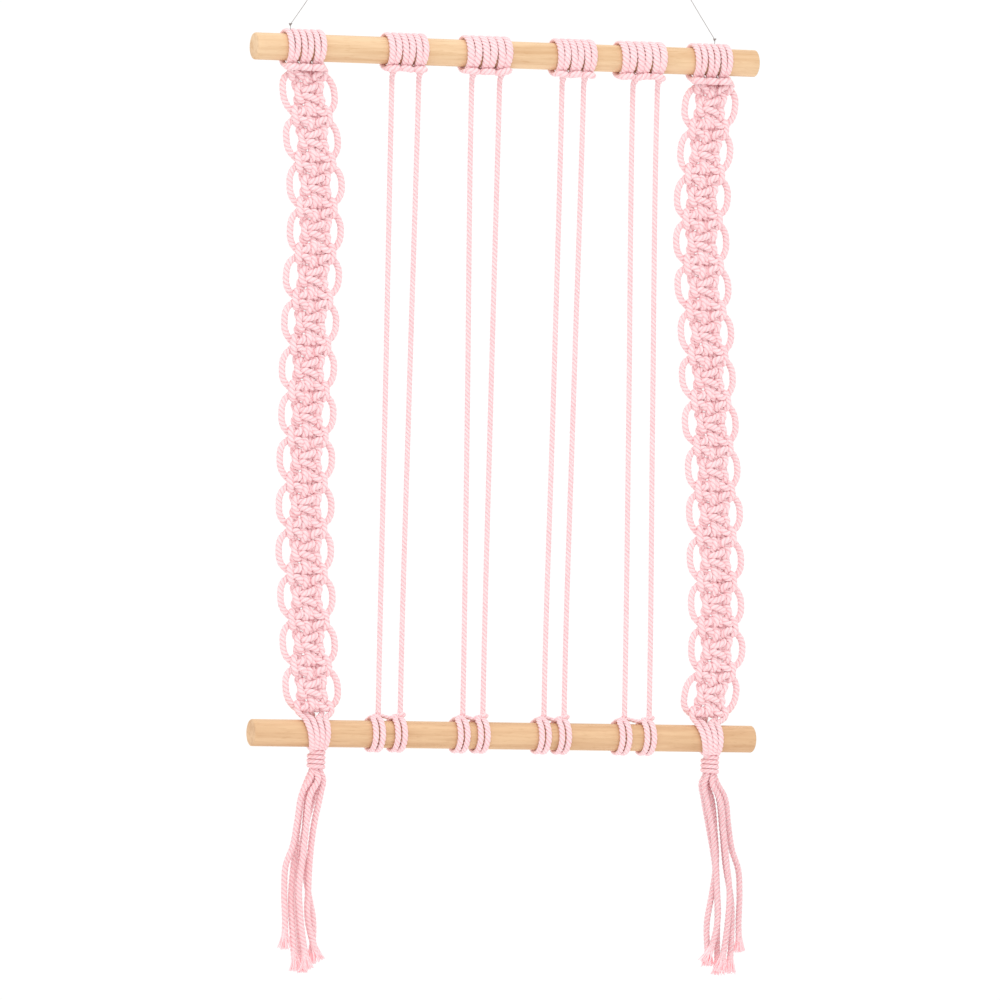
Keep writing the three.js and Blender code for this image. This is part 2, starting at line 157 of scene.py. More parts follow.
class HangingSizes(bpy.types.PropertyGroup):
    """Sizes of the cord, in metres unless they are shares or counts."""

    cord_radius: FloatProperty(
        name="Cord radius", description="Half the thickness of the cotton cord",
        default=1.58 * MM, min=0.5 * MM, unit="LENGTH", precision=5)
    knot_fullness: FloatProperty(
        name="Knot fullness", description="How much thicker the cord lies inside the straps",
        default=1.22, min=0.8, max=1.3)
    cord_lay: FloatProperty(
        name="Lay length", description="Length of cord in which its strands turn once round",
        default=7.2 * MM, min=2 * MM, unit="LENGTH", precision=5)
    groove: FloatProperty(
        name="Groove depth", description="Depth between two strands, as a share of the radius",
        default=0.2, min=0, max=0.5, subtype="FACTOR")
    picot_play: FloatProperty(
        name="Picot play", description="How unevenly the picots were drawn up",
        default=0.7 * MM, min=0, unit="LENGTH", precision=5)
    tuft_yarns: IntProperty(
        name="Tuft yarns", description="Yarns that fray out of each cut cord end",
        default=42, min=6)
    seed: IntProperty(name="Seed", description="Seed of every small variation", default=11)


class HangingColours(bpy.types.PropertyGroup):
    """Colours of the cotton, the wood and the thread."""

    cotton: FloatVectorProperty(
        name="Cotton", description="Crest of the cord's strands", subtype="COLOR",
        default=(0.965, 0.785, 0.795), min=0, max=1)
    # Painted shade: the colour the cotton takes in the grooves between its strands, where shade
    # falls.
    cotton_groove_shade: FloatVectorProperty(
        name="Cotton groove shade", description="Between the strands", subtype="COLOR",
        default=(0.870, 0.450, 0.480), min=0, max=1)
    beech: FloatVectorProperty(
        name="Beech", description="Light wood between the grain", subtype="COLOR",
        default=(0.820, 0.575, 0.350), min=0, max=1)
    beech_grain: FloatVectorProperty(
        name="Beech grain", description="Darker streaks of the grain", subtype="COLOR",
        default=(0.560, 0.310, 0.140), min=0, max=1)
    thread: FloatVectorProperty(
        name="Thread", description="Hanging thread", subtype="COLOR",
        default=(0.420, 0.370, 0.350), min=0, max=1)


class HangingStage(bpy.types.PropertyGroup):
    """Camera and light."""

    azimuth: FloatProperty(
        name="Azimuth", description="Camera's turn round the hanging",
        default=math.radians(-22), subtype="ANGLE")
    roll: FloatProperty(
        name="Roll", description="Camera's tilt about its own axis",
        default=math.radians(1.2), subtype="ANGLE")
    distance: FloatProperty(
        name="Distance", description="Camera to the point it looks at", default=6.9,
        unit="LENGTH")
    lens: FloatProperty(name="Lens", description="Focal length in millimetres", default=447.6)
    key: FloatProperty(name="Key light", description="Power of the top light", default=19,
                       unit="POWER")


def settings():
    scene = bpy.context.scene
    return scene.hanging_sizes, scene.hanging_colours, scene.hanging_stage


# ---- routes -----------------------------------------------------------------------------

def smooth_route(points, step):
    """A smooth line through points, in equal steps.

    Between two points it is a cubic whose slope at each end is the mean slope there,
    over the straight distance run; the result is resampled at equal arc length.
    """
    points = np.asarray(points, float)
    gap = np.linalg.norm(np.diff(points, axis=0), axis=1)
    run = np.concatenate([[0], np.cumsum(gap)])
    slope = np.gradient(points, run, axis=0)
    fine = np.linspace(0, run[-1], int(run[-1] / step * 5) + 8)
    part = np.clip(np.searchsorted(run, fine, side="right") - 1, 0, len(gap) - 1)
    width = gap[part][:, None]
    t = ((fine - run[part]) / gap[part])[:, None]
    line = ((2 * t**3 - 3 * t**2 + 1) * points[part] + (3 * t**2 - 2 * t**3) * points[part + 1]
            + width * ((t**3 - 2 * t**2 + t) * slope[part] + (t**3 - t**2) * slope[part + 1]))
    return even_steps(line, step)


def even_steps(line, step):
    """The same line with its points at equal steps of arc length."""
    length = np.concatenate([[0], np.cumsum(np.linalg.norm(np.diff(line, axis=0), axis=1))])
    even = np.linspace(0, length[-1], max(int(round(length[-1] / step)), 3) + 1)
    return np.stack([np.interp(even, length, line[:, axis]) for axis in range(3)], axis=1)


def route_length(line):
    return float(np.linalg.norm(np.diff(line, axis=0), axis=1).sum())


def carried_frames(line):
    """Tangent, side and top of a line, turning as little as possible along it.

    Each step's turn takes one tangent to the next by the shortest way, and the running
    products of all the turns come from a doubling scan.
    """
    tangent = np.gradient(line, axis=0)
    tangent /= np.linalg.norm(tangent, axis=1, keepdims=True)
    axis = np.cross(tangent[:-1], tangent[1:])
    cosine = np.einsum("ij,ij->i", tangent[:-1], tangent[1:])
    skew = np.zeros((len(axis), 3, 3))
    skew[:, 0, 1], skew[:, 0, 2], skew[:, 1, 2] = -axis[:, 2], axis[:, 1], -axis[:, 0]
    skew -= np.transpose(skew, (0, 2, 1)).copy()
    turn = np.eye(3) + skew + skew @ skew / (1 + cosine)[:, None, None]
    turn = np.concatenate([np.eye(3)[None], turn])
    shift = 1
    while shift < len(turn):
        turn[shift:] = turn[shift:] @ turn[:-shift]
        shift *= 2
    guide = np.array([0.0, 1.0, 0.0]) if abs(tangent[0, 1]) < 0.9 else np.array([1.0, 0, 0])
    side = np.cross(tangent[0], guide)
    side /= np.linalg.norm(side)
    side = turn @ side
    return tangent, side, np.cross(tangent, side)


# ---- meshes -----------------------------------------------------------------------------

def make_piece(name, parts, material):
    """One object from (points in millimetres, quads, (u, v) at quad corners, groove)."""
    points, quads, corner_uv, groove, offset = [], [], [], [], 0
    for part_points, part_quads, part_uv, part_groove in parts:
        points.append(part_points)
        quads.append(part_quads + offset)
        corner_uv.append(part_uv)
        groove.append(part_groove)
        offset += len(part_points)
    points, quads = np.concatenate(points) * MM, np.concatenate(quads)
    mesh = bpy.data.meshes.new(name)
    mesh.vertices.add(len(points))
    mesh.vertices.foreach_set("co", points.astype(np.float32).ravel())
    mesh.loops.add(quads.size)
    mesh.loops.foreach_set("vertex_index", quads.astype(np.int32).ravel())
    mesh.polygons.add(len(quads))
    mesh.polygons.foreach_set("loop_start", np.arange(0, quads.size, 4, dtype=np.int32))
    mesh.polygons.foreach_set("use_smooth", np.ones(len(quads), bool))
    uv = mesh.uv_layers.new(name="along_and_round")
    uv.data.foreach_set("uv", np.concatenate(corner_uv).astype(np.float32).ravel())
    mesh.update(calc_edges=True)
    depth = mesh.attributes.new("groove", "FLOAT", "POINT")
    depth.data.foreach_set("value", np.concatenate(groove).astype(np.float32))
    mesh.materials.append(material)
    obj = bpy.data.objects.new(name, mesh)
    bpy.context.scene.collection.objects.link(obj)
    return obj


def grid_quads(rings, around):
    """Quads of a closed tube of rings, and the (ring, column) of each corner.

    Each end ring of N points is closed by N / 2 - 1 quads that run straight across it,
    from points i and i + 1 to points N - 2 - i and N - 1 - i.
    """
    ring, column = np.meshgrid(np.arange(rings - 1), np.arange(around), indexing="ij")
    corners = [(ring, column), (ring, column + 1), (ring + 1, column + 1), (ring + 1, column)]
    quads = np.stack([r * around + c % around for r, c in corners], axis=-1).reshape(-1, 4)
    places = np.stack([np.stack([r, c], axis=-1) for r, c in corners], axis=-2)
    i = np.arange(around // 2 - 1)
    across = np.stack([i, i + 1, around - 2 - i, around - 1 - i], axis=1)
    caps = [(0, across[:, [1, 0, 3, 2]]), (rings - 1, across)]
    quads = np.concatenate([quads, *[end * around + columns for end, columns in caps]])
    places = [places.reshape(-1, 2)] + [
        np.stack([np.full(columns.size, end), columns.ravel()], axis=1) for end, columns in caps]
    return quads, np.concatenate(places)


def domed(line, radius, dome):
    """Adds a quarter round of rings to both ends of a line, with each ring's share.

    At angle a the ring stands dome * sin(a) past the end, at cos(a) of the radius.
    """
    angle = np.radians([28, 50, 68, 80, 88])
    start, end = line[0] - line[1], line[-1] - line[-2]
    start, end = start / np.linalg.norm(start), end / np.linalg.norm(end)
    reach = (dome * radius * np.sin(angle))[:, None]
    whole = np.concatenate([(line[0] + reach * start)[::-1], line, line[-1] + reach * end])
    share = np.concatenate([np.cos(angle)[::-1], np.ones(len(line)), np.cos(angle)])
    return whole, share


def laid_cord(line, radius, lay, groove, around=24, size=None, press=None, phase=0.0,
              dome=0.6, hand=-1, thin=0.14, wide=0.14):
    """Surface of a three-strand cord along a line.

    With w the angle round the cord, counted along with the strands, the radius is
    R * (1 - groove + groove * abs(cos(1.5 * w))), so three crests and three grooves
    run round it once in each lay. size scales R along the line. press is, at each
    point, the direction pressed flat, with the share as its length: the section is
    thinned along it and widened across it, by the shares thin and wide.
    """
    size = np.ones(len(line)) if size is None else size
    whole, share = domed(line, radius, dome)
    extra = (len(whole) - len(line)) // 2
    size = np.pad(size, extra, mode="edge") * share
    tangent, side, top = carried_frames(whole)
    step = np.linalg.norm(np.diff(whole, axis=0), axis=1)
    run = np.concatenate([[0], np.cumsum(step)])
    strand = np.arange(around) * 2 * np.pi / around
    crest = np.abs(np.cos(1.5 * strand))
    angle = strand[None] + hand * (2 * np.pi * run / lay)[:, None] + phase
    reach = radius * (1 - groove + groove * crest)[None] * size[:, None]
    offset = reach[..., None] * (np.cos(angle)[..., None] * side[:, None]
                                 + np.sin(angle)[..., None] * top[:, None])
    if press is not None:
        press = np.pad(press, ((extra, extra), (0, 0)), mode="edge")
        share_pressed = np.linalg.norm(press, axis=1, keepdims=True)
        flat = press / np.maximum(share_pressed, 1e-9)
        across = np.cross(tangent, flat)
        inward = np.einsum("ijk,ik->ij", offset, flat) * -thin * share_pressed
        outward = np.einsum("ijk,ik->ij", offset, across) * wide * share_pressed
        offset = offset + inward[..., None] * flat[:, None] + outward[..., None] * across[:, None]
    points = whole[:, None] + offset
    quads, places = grid_quads(len(whole), around)
    corner_uv = np.stack([run[places[:, 0]] / lay, places[:, 1] / around], axis=1)
    depth = np.broadcast_to((1 - crest)[None], (len(whole), around)).ravel()
    return points.reshape(-1, 3), quads, corner_uv, depth


def pressed_on_wood(line):
    """Where a cord lies on a dowel: the way to its axis, fading out off the wood."""
    press = np.zeros_like(line)
    for axis_z in (0.0, LOWER_Z):
        away = line - np.array([0, 0, axis_z])
        away[:, 0] = 0
        distance = np.linalg.norm(away, axis=1, keepdims=True)
        share = np.clip((12.2 - distance) / 2.2, 0, 1)
        press += away / np.maximum(distance, 1e-9) * share * share * (3 - 2 * share)
    return press


def turned(profile, around, centre):
    """A profile of (along, radius) carried round an axis along X through a centre."""
    profile = np.asarray(profile, float)
    angle = np.arange(around) * 2 * np.pi / around
    along = np.repeat(profile[:, :1], around, axis=1)
    points = np.stack([centre[0] + along, centre[1] - profile[:, 1:] * np.cos(angle)[None],
                       centre[2] + profile[:, 1:] * np.sin(angle)[None]], axis=-1)
    quads, places = grid_quads(len(profile), around)
    corner_uv = np.stack([profile[places[:, 0], 0] / 10, places[:, 1] / around], axis=1)
    return points.reshape(-1, 3), quads[:, ::-1], corner_uv, np.zeros(points.size // 3)


# ---- knots of the strap -----------------------------------------------------------------

# Half widths of a waist knot, P where its bars bend round and Q at its sides, and how far
# its middle stands off the strap's centre line.
P, Q, WAIST_MIDDLE = 2.4, 3.3, 4.7

# Half of a waist knot, as (across from its middle, down, forward). The outer cord makes
# the bar in front, the inner one the bar behind and the bump in front at the side.
OUTER_LOWER = [(Q, 0, -.4), (.95 * Q, -1.2, -1.3), (P, -2.7, -.2), (.45 * P, -2.4, 2.5),
               (-.45 * P, -1.7, 2.6), (-.9 * P, -1.4, 1), (-.95 * Q, -2, -1)]
OUTER_UPPER = [(-Q, 2.5, -1.3), (-P, 1.3, -.2), (-.45 * P, 1.6, 2.5), (.45 * P, 2.3, 2.6),
               (P, 2.6, .9), (Q, 1.2, -.3), (Q, 0, -.4)]
INNER_LOWER = [(-Q, 0, 1.3), (-.97 * Q, -1.2, 1.8), (-.85 * Q, -2.4, 1.6), (-P, -3.1, .1),
               (-.45 * P, -2.6, -2.5), (.45 * P, -1.8, -2.6), (P, -1.4, -.9)]
INNER_UPPER = [(Q, 2.4, 1.7), (P, 1.2, .1), (.45 * P, 1.5, -2.5), (-.45 * P, 2.3, -2.6),
               (-P, 2.6, -.9), (-Q, 1.2, .9), (-Q, 0, 1.3)]

# Between two waists, as (across, down, forward) from the strap's centre line.
PICOT = [(-9.6, -3, -.9), (-12.3, -3.6, -.6), (-15, -7.5, -.2), (-15.6, -12.6, 0),
         (-15, -17.7, -.2), (-12.3, -21.7, -.6), (-9.6, -22.25, -.9)]
FILLER = [(-1.4, -2.8, 1), (-1.5, -5, .5), (-1.6, -9, 0), (-1.6, -16, 0), (-1.5, -19.5, .6),
          (-1.4, -21.05, 1.2)]
FRONT_WORKER = [
    (-4.7, 0, 0), (-4.7, -3.5, 0), (-6.2, -6, -.4), (-7.2, -8.1, -1.2), (-4.6, -11.2, -.2),
    (-2.1, -10.8, 2.6), (2.1, -9.9, 2.6), (4.6, -9.4, .9), (7.2, -11.6, -.3),
    (7.2, -13.6, -.5), (6.8, -14.3, -1.3), (4.6, -15.8, -.2), (2.1, -15.4, 2.6),
    (-2.1, -14.5, 2.6), (-4.6, -14, .9), (-7.2, -16.1, -.8), (-6.2, -19.2, -.4),
    (-4.7, -21.8, 0), (-4.7, -25.25, 0)]
BACK_WORKER = [
    (4.7, 0, 0), (4.7, -3.5, 0), (6.2, -6, .4), (7.2, -8.1, 1.4), (4.6, -11.2, .2),
    (2.1, -10.8, -2.6), (-2.1, -9.9, -2.6), (-4.6, -9.4, -.9), (-7.2, -11.6, .9),
    (-7.2, -13.6, 1.3), (-6.8, -14.3, 1.7), (-4.6, -15.8, .2), (-2.1, -15.4, -2.6),
    (2.1, -14.5, -2.6), (4.6, -14, -.9), (7.2, -16.1, .9), (6.2, -19.2, .4),
    (4.7, -21.8, 0), (4.7, -25.25, 0)]
CELL_DROP = 25.25


def waist(points, drop=0.0):
    """Waist points moved to the left knot's place, and down by one cell if asked."""
    return [(across - WAIST_MIDDLE, down - drop, forward) for across, down, forward in points]


def mirrored(points):
    return [(-across, down, forward) for across, down, forward in points]


def cell_cords():
    """Rough routes of the six cords through one cell, from mid-waist to mid-waist."""
    outer = waist(OUTER_LOWER) + PICOT + waist(OUTER_UPPER, CELL_DROP)
    inner = waist(INNER_LOWER) + FILLER + waist(INNER_UPPER, CELL_DROP)
    return [outer, FRONT_WORKER, inner, mirrored(inner), BACK_WORKER, mirrored(outer)]


def drawn_tight(cords, spacing=1.0, clear=3.15, rounds=90):
    """Cords of one cell drawn up against each other without passing through.

    Round after round, each point moves a little to the middle of its neighbours, a
    little back to its first place, and away from every point of another cord, or of a
    far part of its own, that is nearer than clear. The cells above and below are this
    cell moved by its drop, so the result repeats.
    """
    lines = [smooth_route(cord, spacing)[:-1] for cord in cords]
    owner = np.concatenate([np.full(len(line), i) for i, line in enumerate(lines)])
    count = np.array([len(line) for line in lines])
    first = np.concatenate([[0], np.cumsum(count)[:-1]])
    place = np.arange(len(owner)) - first[owner]
    points = np.concatenate(lines)
    rest = points.copy()
    drop = np.array([0, -CELL_DROP, 0])
    after = first[owner] + (place + 1) % count[owner]
    before = first[owner] + (place - 1) % count[owner]
    after_drop = (place + 1 >= count[owner])[:, None] * drop
    before_drop = (place == 0)[:, None] * -drop
    loose = (np.abs(rest[:, 0]) > 11)[:, None]
    for _ in range(rounds):
        middle = (points[after] + after_drop + points[before] + before_drop) / 2
        points = points + 0.22 * (middle - points) + np.where(loose, 0.5, 0.03) * (rest - points)
        push = np.zeros_like(points)
        for image in (-1, 0, 1):
            apart = points[:, None] - (points + image * drop)[None]
            distance = np.linalg.norm(apart, axis=-1) + 1e-9
            same = owner[:, None] == owner[None]
            steps = np.abs(place[:, None] - place[None] - image * count[owner][None])
            near = (distance < clear) & ~(same & (steps < 4.5))
            shove = np.where(near, (clear - distance) / distance * 0.3, 0)
            push += (apart * shove[..., None]).sum(axis=1)
        size = np.linalg.norm(push, axis=1, keepdims=True)
        points = points + push * np.minimum(1, 0.5 / np.maximum(size, 1e-9))
    return [points[first[i]:first[i] + count[i]] for i in range(len(cords))]


def strap_centre(side):
    """The strap's centre x as a function of height."""
    middle = node_middle(f"{side}_strap_hitch")[0]
    line = np.array([(middle + x, 0, FIRST_ROW_Z + share * (STRAP_BOTTOM_Z - FIRST_ROW_Z))
                     for x, share in STRAP_LINES[side]])
    line = smooth_route(line, 1.0)[::-1]
    return lambda z: np.interp(z, line[:, 2], line[:, 0])


def strap_routes(side, cells, play, rng):
    """The six cords of a strap from its first waist to its last, as lines of points."""
    centre = strap_centre(side)
    reach = rng.uniform(-play, play * 0.3, (ROW_COUNT, 2))
    sag = rng.uniform(-0.6, 0.6, (ROW_COUNT, 2))
    lines = []
    for cord in cells:
        rows = np.tile(cord, (ROW_COUNT, 1)).reshape(ROW_COUNT, -1, 3)
        half = (rows[..., 0] > 0).astype(int)
        out = np.clip((np.abs(rows[..., 0]) - 9.5) / 5, 0, 1)
        row = np.arange(ROW_COUNT)[:, None]
        across = rows[..., 0] + np.sign(rows[..., 0]) * out * reach[row, half]
        down = rows[..., 1] * ROW_PITCH / CELL_DROP - row * ROW_PITCH + out * sag[row, half]
        z = FIRST_ROW_Z + down
        line = np.stack([centre(z) + across, -rows[..., 2], z], axis=-1).reshape(-1, 3)
        last = line[0] + [0, 0, -ROW_COUNT * ROW_PITCH]
        last[0] += centre(last[2]) - centre(line[0][2])
        lines.append(np.concatenate([line, last[None]]))
    return lines


# ---- hitches ----------------------------------------------------------------------------

def round_wood(stations, axis_z=0.0):
    """(x, degrees, distance) stations round a dowel: 0 is in front, 90 on top."""
    x, degrees, distance = np.asarray(stations, float).T
    angle = np.radians(degrees)
    return np.stack([x, -distance * np.cos(angle), axis_z + distance * np.sin(angle)], axis=1)


def hitch_half(knot_x, turn_x, leg=True):
    """Half of a lark's head: from the middle of its bar round the wood and down behind."""
    out = turn_x - knot_x
    way = np.sign(out)
    wide = abs(out)
    stations = [(0, -55, 12.25), (0.75 * wide, -56, 12.1), (1.38 * wide, -65, 11.2),
                (1.4 * wide, -86, 9.9), (1.22 * wide, -110, 9.25), (wide, -150, 9.12),
                (wide, -190, 9.1), (wide, -230, 9.1), (wide, -270, 9.1), (wide, -310, 9.1),
                (wide, -345, 9.12), (0.9 * wide, -375, 9.1), (0.78 * wide, -398, 9.05)]
    if leg:
        stations.append((0.68 * wide, -418, 9.0))
    else:
        stations += [(0.7 * wide, -415, 9.0), (0.6 * wide, -430, 9.0)]
    stations = [(knot_x + way * x, degrees, distance) for x, degrees, distance in stations]
    return round_wood(stations)


def bar_share(line, stand_off):
    """How far each point of a hitch is in its bar: 0 on the turns, 1 past stand_off by 1.2."""
    share = np.clip((np.hypot(line[:, 1], line[:, 2]) - stand_off) / 1.2, 0, 1)
    return share * (line[:, 2] > -13)


def strap_cord_route(side, cord, knot_x, turn_x, line):
    """Half of a folded strap cord: hitch, strap, saddle and neck, from bar to neck."""
    above = hitch_half(knot_x, turn_x)
    entry = (above[-1] + line[0]) / 2 + [0, 0.3, 0.2]
    slots = {3: (-1, -1.5), 2: (-1, -0.5), 5: (-1, 0.5), 4: (-1, 1.5), 1: (1, -0.5), 6: (1, 0.5)}
    facing, place = slots[cord]
    neck_x = node_middle(f"{side}_gathering_wrap")[0]
    top_x = node_middle(f"{side}_strap_hitch")[0] + SADDLE_TOP[side]
    degrees = np.array([62, 40, 15, -10, -35, -58, -76])
    share = np.array([0.04, 0.12, 0.27, 0.42, 0.58, 0.76, 0.92])
    start = top_x + place * SADDLE_PITCH["top"] * (1.05 if facing < 0 else 1.0)
    finish = neck_x + place * SADDLE_PITCH["neck"]
    angle = np.radians(degrees)
    saddle = np.stack([start + share * (finish - start), facing * 9.2 * np.cos(angle),
                       LOWER_Z + 9.2 * np.sin(angle)], axis=1)
    spot = np.array(NECK_SPOTS[cord - 1])
    if facing * spot[1] < 0:
        spot[1] *= -1
    neck = np.array([[neck_x + place * 1.5, spot[1] * 0.9, WRAP_TOP_Z + 0.8],
                     [neck_x + place * 1.3, spot[1] * 0.8, WRAP_TOP_Z - 3.0],
                     [neck_x + place * 1.3, spot[1] * 0.8, WRAP_TOP_Z - 5.0]])
    return np.concatenate([above, entry[None], line, saddle, neck])


# ---- materials --------------------------------------------------------------------------

class Wiring:
    """Short hand for putting nodes into one tree."""

    def __init__(self, tree):
        self.tree = tree

    def node(self, kind, inputs=(), **values):
        made = self.tree.nodes.new(kind)
        for name, value in values.items():
            setattr(made, name, value)
        for socket, value in dict(inputs).items():
            if isinstance(value, bpy.types.NodeSocket):
                self.tree.links.new(value, made.inputs[socket])
            else:
                made.inputs[socket].default_value = value
        return made

    def math(self, operation, a, b=0.0):
        return self.node("ShaderNodeMath", {0: a, 1: b}, operation=operation).outputs[0]

    def blend(self, share, a, b, mode="MIX"):
        mix = self.node("ShaderNodeMix", {0: share, 6: a, 7: b}, data_type="RGBA",
                        blend_type=mode)
        return mix.outputs[2]

    def noise(self, vector, scale, detail=2.0, rough=0.5):
        return self.node("ShaderNodeTexNoise", {
            "Vector": vector, "Scale": scale, "Detail": detail, "Roughness": rough}).outputs[0]

    def ramp(self, value, low, high):
        return self.node("ShaderNodeMapRange", {
            "Value": value, "From Min": low, "From Max": high}).outputs[0]


def new_group(name, inputs, outputs):
    """A shader node group with named sockets: (name, kind, default) in, (name, kind) out."""
    group = bpy.data.node_groups.new(name, "ShaderNodeTree")
    for label, kind, default in inputs:
        socket = group.interface.new_socket(label, in_out="INPUT", socket_type=kind)
        socket.default_value = default
    for label, kind in outputs:
        group.interface.new_socket(label, in_out="OUTPUT", socket_type=kind)
    wiring = Wiring(group)
    start = wiring.node("NodeGroupInput").outputs
    end = wiring.node("NodeGroupOutput").inputs
    return group, wiring, start, end


COLOUR, NUMBER = "NodeSocketColor", "NodeSocketFloat"


def yarn_group():
    """Yarn streaks along a laid cord, darkened by painted shade in the grooves, with their height.
    """
    group, w, start, end = new_group("Laid yarn", [
        ("Crest", COLOUR, (1, 1, 1, 1)), ("Groove shade", COLOUR, (0.5, 0.5, 0.5, 1)),
        ("Tint reach", NUMBER, 0.6), ("Streaks", NUMBER, 26.0), ("Fuzz", NUMBER, 0.5),
    ], [("Colour", COLOUR), ("Height", NUMBER), ("Roughness", NUMBER)])
    uv = w.node("ShaderNodeUVMap", uv_map="along_and_round").outputs[0]
    split = w.node("ShaderNodeSeparateXYZ", {0: uv})
    slant = w.math("ADD", split.outputs[1], w.math("MULTIPLY", split.outputs[0], 0.55))
    angle = w.math("MULTIPLY", slant, 2 * math.pi)
    radius = w.math("MULTIPLY", start["Streaks"], 1 / (2 * math.pi))
    ring = w.node("ShaderNodeCombineXYZ", {
        0: w.math("MULTIPLY", w.math("COSINE", angle), radius),
        1: w.math("MULTIPLY", w.math("SINE", angle), radius),
        2: w.math("MULTIPLY", split.outputs[0], 2.6)}).outputs[0]
    streak = w.noise(ring, 1.0, 3.0, 0.62)
    place = w.node("ShaderNodeTexCoord").outputs["Object"]
    soft = w.noise(place, 900.0, 3.0, 0.65)
    broad = w.noise(place, 55.0, 1.0, 0.5)
    # Painted shade: the groove attribute turns the colour towards the groove shade colour between
    # the strands, where shade falls; the streak noise darkens along the yarns and the broad noise
    # adds tone that differs at random.
    groove = w.node("ShaderNodeAttribute", attribute_name="groove").outputs["Fac"]
    groove_shade = w.math("POWER", groove, 1.7)
    shade_and_tone = w.math("ADD", w.math("MULTIPLY", groove_shade, start["Tint reach"]),
                    w.math("MULTIPLY", w.ramp(streak, 0.62, 0.38), 0.40))
    shade_and_tone = w.math("ADD", shade_and_tone, w.math("MULTIPLY", w.ramp(broad, 0.42, 0.66), 0.07))
    share = w.math("MINIMUM", shade_and_tone, 1.0)
    w.tree.links.new(w.blend(share, start["Crest"], start["Groove shade"]), end["Colour"])
    height = w.math("ADD", streak, w.math("MULTIPLY", soft, start["Fuzz"]))
    w.tree.links.new(height, end["Height"])
    w.tree.links.new(w.math("ADD", 0.82, w.math("MULTIPLY", soft, 0.2)), end["Roughness"])
    return group


def grain_group():
    """Grain of turned beech along X: long streaks, broad bands and short dark flecks."""
    group, w, start, end = new_group("Beech grain", [
        ("Light", COLOUR, (1, 1, 1, 1)), ("Dark", COLOUR, (0.5, 0.4, 0.3, 1)),
        ("Strength", NUMBER, 0.6), ("Offset", NUMBER, 0.0),
    ], [("Colour", COLOUR), ("Height", NUMBER), ("Roughness", NUMBER)])
    place = w.node("ShaderNodeTexCoord").outputs["Object"]
    split = w.node("ShaderNodeSeparateXYZ", {0: place})
    x = w.math("ADD", split.outputs[0], start["Offset"])

    def stretched(share):
        return w.node("ShaderNodeCombineXYZ", {
            0: w.math("MULTIPLY", x, share), 1: split.outputs[1],
            2: split.outputs[2]}).outputs[0]

    long_streak = w.noise(stretched(0.05), 420.0, 3.0, 0.6)
    broad = w.noise(stretched(0.07), 95.0, 2.0, 0.5)
    fleck = w.noise(stretched(0.12), 1500.0, 2.0, 0.5)
    flecks = w.ramp(fleck, 0.58, 0.68)
    mask = w.math("ADD", w.math("MULTIPLY", w.ramp(long_streak, 0.42, 0.66), 0.6),
                  w.math("MULTIPLY", w.ramp(broad, 0.44, 0.62), 0.5))
    mask = w.math("ADD", mask, w.math("MULTIPLY", flecks, 0.35))
    mask = w.math("MINIMUM", w.math("MULTIPLY", mask, start["Strength"]), 1.0)
    w.tree.links.new(w.blend(mask, start["Light"], start["Dark"]), end["Colour"])
    w.tree.links.new(w.math("SUBTRACT", long_streak, w.math("MULTIPLY", flecks, 0.6)),
                     end["Height"])
    w.tree.links.new(w.math("ADD", 0.46, w.math("MULTIPLY", long_streak, 0.2)),
                     end["Roughness"])
    return group


def finish_material(name, group, inputs, bump, distance, **sockets):
    """A Principled material fed by one group, with bump; sockets are set on the shader."""
    material = bpy.data.materials.new(name)
    material.use_nodes = True
    tree = material.node_tree
    tree.nodes.clear()
    w = Wiring(tree)
    look = w.node("ShaderNodeGroup", node_tree=group)
    for socket, value in inputs.items():
        look.inputs[socket].default_value = value
    normal = w.node("ShaderNodeBump", {
        "Strength": bump, "Distance": distance, "Height": look.outputs["Height"]}).outputs[0]
    shader = w.node("ShaderNodeBsdfPrincipled", {
        "Base Color": look.outputs["Colour"], "Roughness": look.outputs["Roughness"],
        "Normal": normal})
    for socket, value in sockets.items():
        shader.inputs[socket.replace("_", " ")].default_value = value
    out = w.node("ShaderNodeOutputMaterial")
    tree.links.new(shader.outputs[0], out.inputs[0])
    return material


def colour(value, share=1.0):
    return (*[channel * share for channel in value], 1.0)


